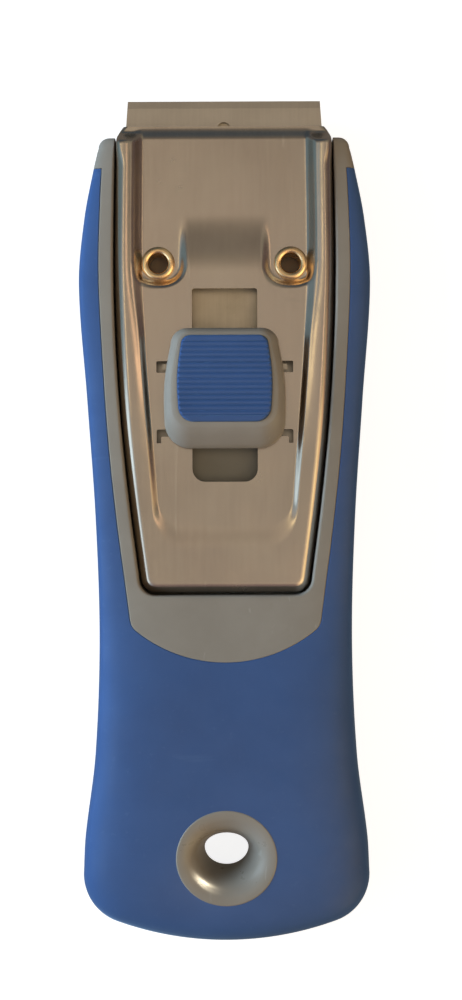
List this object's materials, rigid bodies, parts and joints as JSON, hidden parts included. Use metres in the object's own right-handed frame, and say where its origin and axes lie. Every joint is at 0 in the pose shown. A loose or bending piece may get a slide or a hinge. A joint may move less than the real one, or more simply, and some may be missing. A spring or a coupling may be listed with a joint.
{
  "type": "retractable blade scraper",
  "caption": "Hand-held glass scraper with a soft-gripped handle, pressed steel head, single-edge blade on a sliding carrier and a thumb button that presses and slides.",
  "frame": {"origin": "bottom centre of the bounding box: the scraper lies on its back, and the middle of the back lid rests at Z = 0", "axes": "+X across the handle, +Y from the hanging hole to the blade, +Z out of the face with the thumb button"},
  "size_m": [0.0578, 0.1662, 0.0181],
  "materials": {
    "grey_plastic": "fine satin moulding",
    "blue_grip": "matt soft-touch skin",
    "stainless": "pressed sheet, lightly scuffed",
    "blade_steel": "ground and oiled",
    "brass": "rolled, bright",
    "zinc": "zinc plated"
  },
  "bodies": {
    "handle": {"handle_body": "grey_plastic", "grip_overmold": "blue_grip", "back_cover": "grey_plastic", "hang_ring_front": "grey_plastic", "hang_ring_back": "grey_plastic", "cover_plate": "stainless", "base_plate": "stainless", "eyelet_left": "brass", "eyelet_right": "brass", "back_screw_front_left": "zinc", "back_screw_front_right": "zinc", "back_screw_rear": "zinc", "head_screw_left": "zinc", "head_screw_right": "zinc"},
    "slider": {"blade_carrier": "stainless", "blade": "blade_steel", "blade_peg_left": "zinc", "blade_peg_right": "zinc"},
    "thumb_button": {"button_frame": "grey_plastic", "button_pad": "blue_grip", "button_rivet": "zinc", "detent_spring": "stainless"}
  },
  "joints": [
    {"name": "slider_slide", "type": "slide", "parent": "handle", "child": "slider", "axis": [0, 1, 0], "range_m": [-0.01305, 0.0142]},
    {"name": "button_press", "type": "slide", "parent": "slider", "child": "thumb_button", "axis": [0, 0, -1], "range_m": [0, 0.0009], "stiffness_N_per_m": 2500, "springref_m": -0.0004, "deforming": ["detent_spring"]}
  ]
}
